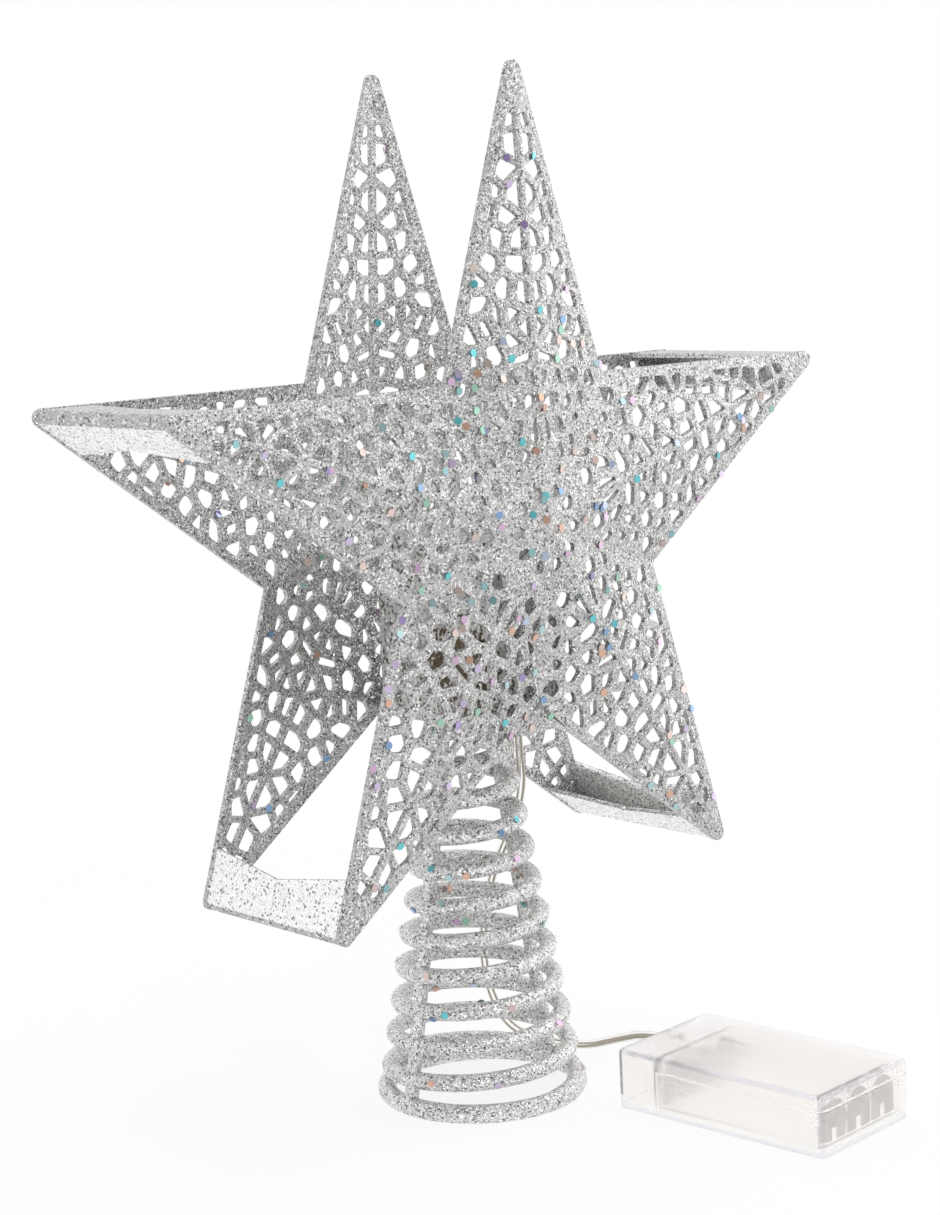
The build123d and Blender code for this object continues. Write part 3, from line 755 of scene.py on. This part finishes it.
film, film_shader = new_paint("sequin_film", {"Metallic": 0.5, "Roughness": 0.2})
film_tint = film.node_tree.nodes.new("ShaderNodeAttribute")
film_tint.attribute_name = "tint"
film.node_tree.links.new(film_tint.outputs["Color"], film_shader.inputs["Base Color"])
sequin_mesh.materials.append(film)
sequin_piece = add_object("sequins", sequin_mesh)
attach(sequin_piece, "topper")


# Lamp housing: a smooth cover moulded in amber brown plastic, dropped over the lamp board and held
# between the star's two halves. Glitter drifted on to most of it, and one spot stayed bare.
amber_brown = (0.085, 0.055, 0.018, 1.0)
bare_spot = (-0.026, -0.012, 0.118)
bare_reach = (0.010, 0.020)
bare_cover = (-0.35, 0.12)
drift_scale = 900.0
drift_edge = (0.47, 0.53)

amber, amber_shader = new_paint("amber_plastic", {"Roughness": 0.3})
amber_tree = amber.node_tree
amber_grain = add_glitter(amber, flakes=2300.0, tilt=0.8, tone=1.2)
amber_place = amber_tree.nodes.new("ShaderNodeTexCoord").outputs["Object"]
amber_drift = amber_tree.nodes.new("ShaderNodeTexNoise")
amber_drift.inputs["Scale"].default_value = drift_scale
amber_drift.inputs["Detail"].default_value = 1.0
amber_tree.links.new(amber_place, amber_drift.inputs["Vector"])
amber_gap = vector_step(amber_tree, "DISTANCE", amber_place, bare_spot)
amber_bare = ranged(amber_tree, amber_gap, bare_reach, bare_cover)
amber_cover = math_step(amber_tree, "ADD", amber_drift.outputs["Fac"], amber_bare)
amber_mask = ranged(amber_tree, amber_cover, drift_edge, (0.0, 1.0))
amber_tone = mixed(amber_tree, "RGBA", amber_mask, amber_brown, amber_grain["Color"])
amber_tree.links.new(amber_tone, amber_shader.inputs["Base Color"])
amber_tree.links.new(amber_grain["Normal"], amber_shader.inputs["Normal"])
dress("lamp_housing", amber)


# Lamp board and lamps: a green lacquered board on the base plate's rails, with three clear epoxy
# lamps soldered to it.
board_green = (0.02, 0.13, 0.05, 1.0)
lens_tint = (0.95, 0.92, 0.82, 1.0)

lacquer = new_paint("circuit_board", {"Base Color": board_green, "Roughness": 0.35})[0]
dress("lamp_board", lacquer)
epoxy = new_paint(
    "lamp_lens", {"Base Color": lens_tint, "Roughness": 0.08, "Transmission Weight": 0.8},
)[0]
for name in ("lamp_1", "lamp_2", "lamp_3"):
    dress(name, epoxy)


# Lead: a soft clear jacket over two thin tinned wires. It comes through the base plate beside the
# cone's neck, hangs down outside the turns, lies once on the ground and goes into the battery box.
lead_diameter = 0.0024
lead_row = [
    (0.0098, -0.0088, 0.1061), (0.0098, -0.0088, 0.0945), (0.01927, 0.0, 0.07571),
    (0.01847, 0.01478, 0.0507), (0.01904, 0.01834, 0.0349), (0.02009, 0.01939, 0.0264),
    (0.02237, 0.01947, 0.0165), (0.02659, 0.01669, 0.0066), (0.0353, 0.0122, 0.0018),
    (0.0393, 0.0003, 0.0016), (0.0385, -0.0123, 0.0065), (0.0372, -0.0262, 0.0115),
    (0.03821, -0.03846, 0.0115),
]
jacket_tint = (0.97, 0.96, 0.94, 1.0)
jacket_passing = 0.9
strand_tint = (0.48, 0.45, 0.38, 1.0)
strand_radius = 0.00026
strand_offset = 0.00056
strand_sides = 3
strand_plane = Vector((0.35, 0.9, 0.25))

lead_curve = bpy.data.curves.new("lead", "CURVE")
lead_curve.dimensions = "3D"
lead_curve.bevel_depth = lead_diameter / 2
lead_curve.bevel_resolution = 4
lead_curve.resolution_u = 16
lead_curve.use_fill_caps = True
lead_spline = lead_curve.splines.new("NURBS")
lead_spline.points.add(len(lead_row) - 1)
for point, spot in zip(lead_spline.points, lead_row):
    point.co = (*spot, 1.0)
lead_spline.order_u = 3
lead_spline.use_endpoint_u = True


def let_light_through(material, shader, share):
    """Lets lamp light pass a clear material, which otherwise throws a black shadow."""
    tree = material.node_tree
    rays = tree.nodes.new("ShaderNodeLightPath").outputs
    either = math_step(tree, "MAXIMUM", rays["Is Shadow Ray"], rays["Is Diffuse Ray"])
    passing = math_step(tree, "MULTIPLY", either, share)
    open_way = tree.nodes.new("ShaderNodeBsdfTransparent")
    mixed_surface(tree, passing, shader.outputs["BSDF"], open_way.outputs["BSDF"])


jacket, jacket_shader = new_paint("clear_lead", {
    "Base Color": jacket_tint, "Roughness": 0.08, "IOR": 1.2, "Transmission Weight": 1.0,
})
let_light_through(jacket, jacket_shader, jacket_passing)
lead_curve.materials.append(jacket)
lead = add_object("lead", lead_curve)
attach(lead, "topper")
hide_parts("cord")

lead_line = lead_curve.copy()
lead_line.bevel_depth = 0.0
lead_spots = [vertex.co.copy() for vertex in curve_mesh(lead_line).vertices]
tinned = new_paint("tinned_wire", {"Base Color": strand_tint, "Metallic": 0.7, "Roughness": 0.4})[0]
for side in (1, -1):
    strand_row = []
    for index, spot in enumerate(lead_spots):
        ahead = lead_spots[min(index + 1, len(lead_spots) - 1)] - lead_spots[max(index - 1, 0)]
        beside = ahead.cross(strand_plane).normalized()
        strand_row.append(spot + beside * (side * strand_offset))
    strand_mesh = wire_mesh("strand", strand_row, strand_radius, strand_sides)
    strand_mesh.materials.append(tinned)
    strand = add_object("lead_strand_" + ("a" if side == 1 else "b"), strand_mesh)
    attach(strand, "topper")


# Battery box: a clear tray with the switch room at the lead's end, and a clear lid that slides over
# its bays. Both are moulded in one thickness, finely frosted on top and along the bays and clear at
# both ends, with a lavender tinge where one looks along an edge.
box_place = (0.0134, -0.0374, 0.0)
box_heading = math.radians(-85.3)
box_half = (0.0325, 0.0190, 0.00785)
edge_width = (0.0006, 0.0015)
clear_tint = (1.0, 0.985, 0.975, 1.0)
edge_tint = (0.82, 0.81, 0.88, 1.0)
frosted_run = (0.0105, 0.0608)
clear_roughness = 0.03
frost_roughness = 0.31
box_passing = 0.92


def split(tree, vector):
    """X, Y and Z of a vector."""
    parts = tree.nodes.new("ShaderNodeSeparateXYZ")
    tree.links.new(vector, parts.inputs["Vector"])
    return parts.outputs


frost, frost_shader = new_paint("clear_plastic", {"IOR": 1.16, "Transmission Weight": 0.86})
frost_tree = frost.node_tree
frost_place = frost_tree.nodes.new("ShaderNodeTexCoord").outputs["Object"]
frost_frame = frost_tree.nodes.new("ShaderNodeMapping")
frost_frame.vector_type = "TEXTURE"
frost_frame.inputs["Location"].default_value = box_place
frost_frame.inputs["Rotation"].default_value = (0.0, 0.0, box_heading)
frost_tree.links.new(frost_place, frost_frame.inputs["Vector"])
frost_spot = frost_frame.outputs["Vector"]

frost_middle = vector_step(frost_tree, "SUBTRACT", frost_spot, box_half)
frost_out = vector_step(frost_tree, "ABSOLUTE", frost_middle)
frost_depth = split(frost_tree, vector_step(frost_tree, "SUBTRACT", box_half, frost_out))
side_least = math_step(frost_tree, "MINIMUM", frost_depth["X"], frost_depth["Y"])
side_most = math_step(frost_tree, "MAXIMUM", frost_depth["X"], frost_depth["Y"])
top_least = math_step(frost_tree, "MINIMUM", side_most, frost_depth["Z"])
edge_depth = math_step(frost_tree, "MAXIMUM", side_least, top_least)
frost_edge = ranged(frost_tree, edge_depth, edge_width, (1.0, 0.0))
frost_tint = mixed(frost_tree, "RGBA", frost_edge, clear_tint, edge_tint)
frost_tree.links.new(frost_tint, frost_shader.inputs["Base Color"])

run_middle = (frosted_run[0] + frosted_run[1]) / 2
run_half = (frosted_run[1] - frosted_run[0]) / 2
frost_zone = math_step(frost_tree, "COMPARE", split(frost_tree, frost_spot)["X"], run_middle, run_half)
frost_normal = frost_tree.nodes.new("ShaderNodeNewGeometry").outputs["Normal"]
frost_cover = math_step(frost_tree, "MAXIMUM", frost_zone, split(frost_tree, frost_normal)["Z"])
frost_grain = ranged(frost_tree, frost_cover, (0.0, 1.0), (clear_roughness, frost_roughness))
frost_tree.links.new(frost_grain, frost_shader.inputs["Roughness"])
let_light_through(frost, frost_shader, box_passing)
for name in ("battery_tray", "battery_lid"):
    dress(name, frost)


# Contacts and springs: nickel plated sheet pressed to arched tongues, and conical springs of round
# wire seated on three of them.
steel_tint = (0.60, 0.585, 0.575, 1.0)
spring_wire = 0.00035
spring_sides = 3
spring_base = 0.0036
spring_end = 0.0025
spring_length = 0.006
spring_turns = 2.5
spring_steps = 24
spring_seats = (
    ("spring_1", (0.01395, 0.0084, 0.008), 1),
    ("spring_2", (0.06055, 0.0190, 0.008), -1),
    ("spring_3", (0.01395, 0.0296, 0.008), 1),
)
box_frame = Matrix.Translation(box_place) @ Matrix.Rotation(box_heading, 4, "Z")

steel = new_paint("plated_steel", {"Base Color": steel_tint, "Metallic": 0.8, "Roughness": 0.42})[0]
for name in ("contact_far_double", "contact_far_single", "contact_near_single", "contact_near_double"):
    dress(name, steel)

for name, seat, way in spring_seats:
    spring_row = spiral_row(spring_base, spring_end, spring_length, spring_turns, 0.0, spring_steps)
    spring_mesh = wire_mesh(name + "_wire", spring_row, spring_wire, spring_sides)
    spring_lie = Vector((way, 0.0, 0.0)).to_track_quat("Z", "Y").to_matrix().to_4x4()
    spring_mesh.transform(box_frame @ Matrix.Translation(seat) @ spring_lie)
    spring_mesh.materials.append(steel)
    for face in spring_mesh.polygons:
        face.use_smooth = True
    spring = add_object(name + "_wire", spring_mesh)
    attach(spring, "topper")
    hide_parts(name)


# Slide switch: a plated steel body on the floor of the switch room, and a black knob that reaches
# into its window from below.
knob_black = (0.02, 0.02, 0.022, 1.0)

dress("switch_body", steel)
knob_plastic = new_paint("dark_plastic", {"Base Color": knob_black, "Roughness": 0.5})[0]
dress("switch_knob", knob_plastic)
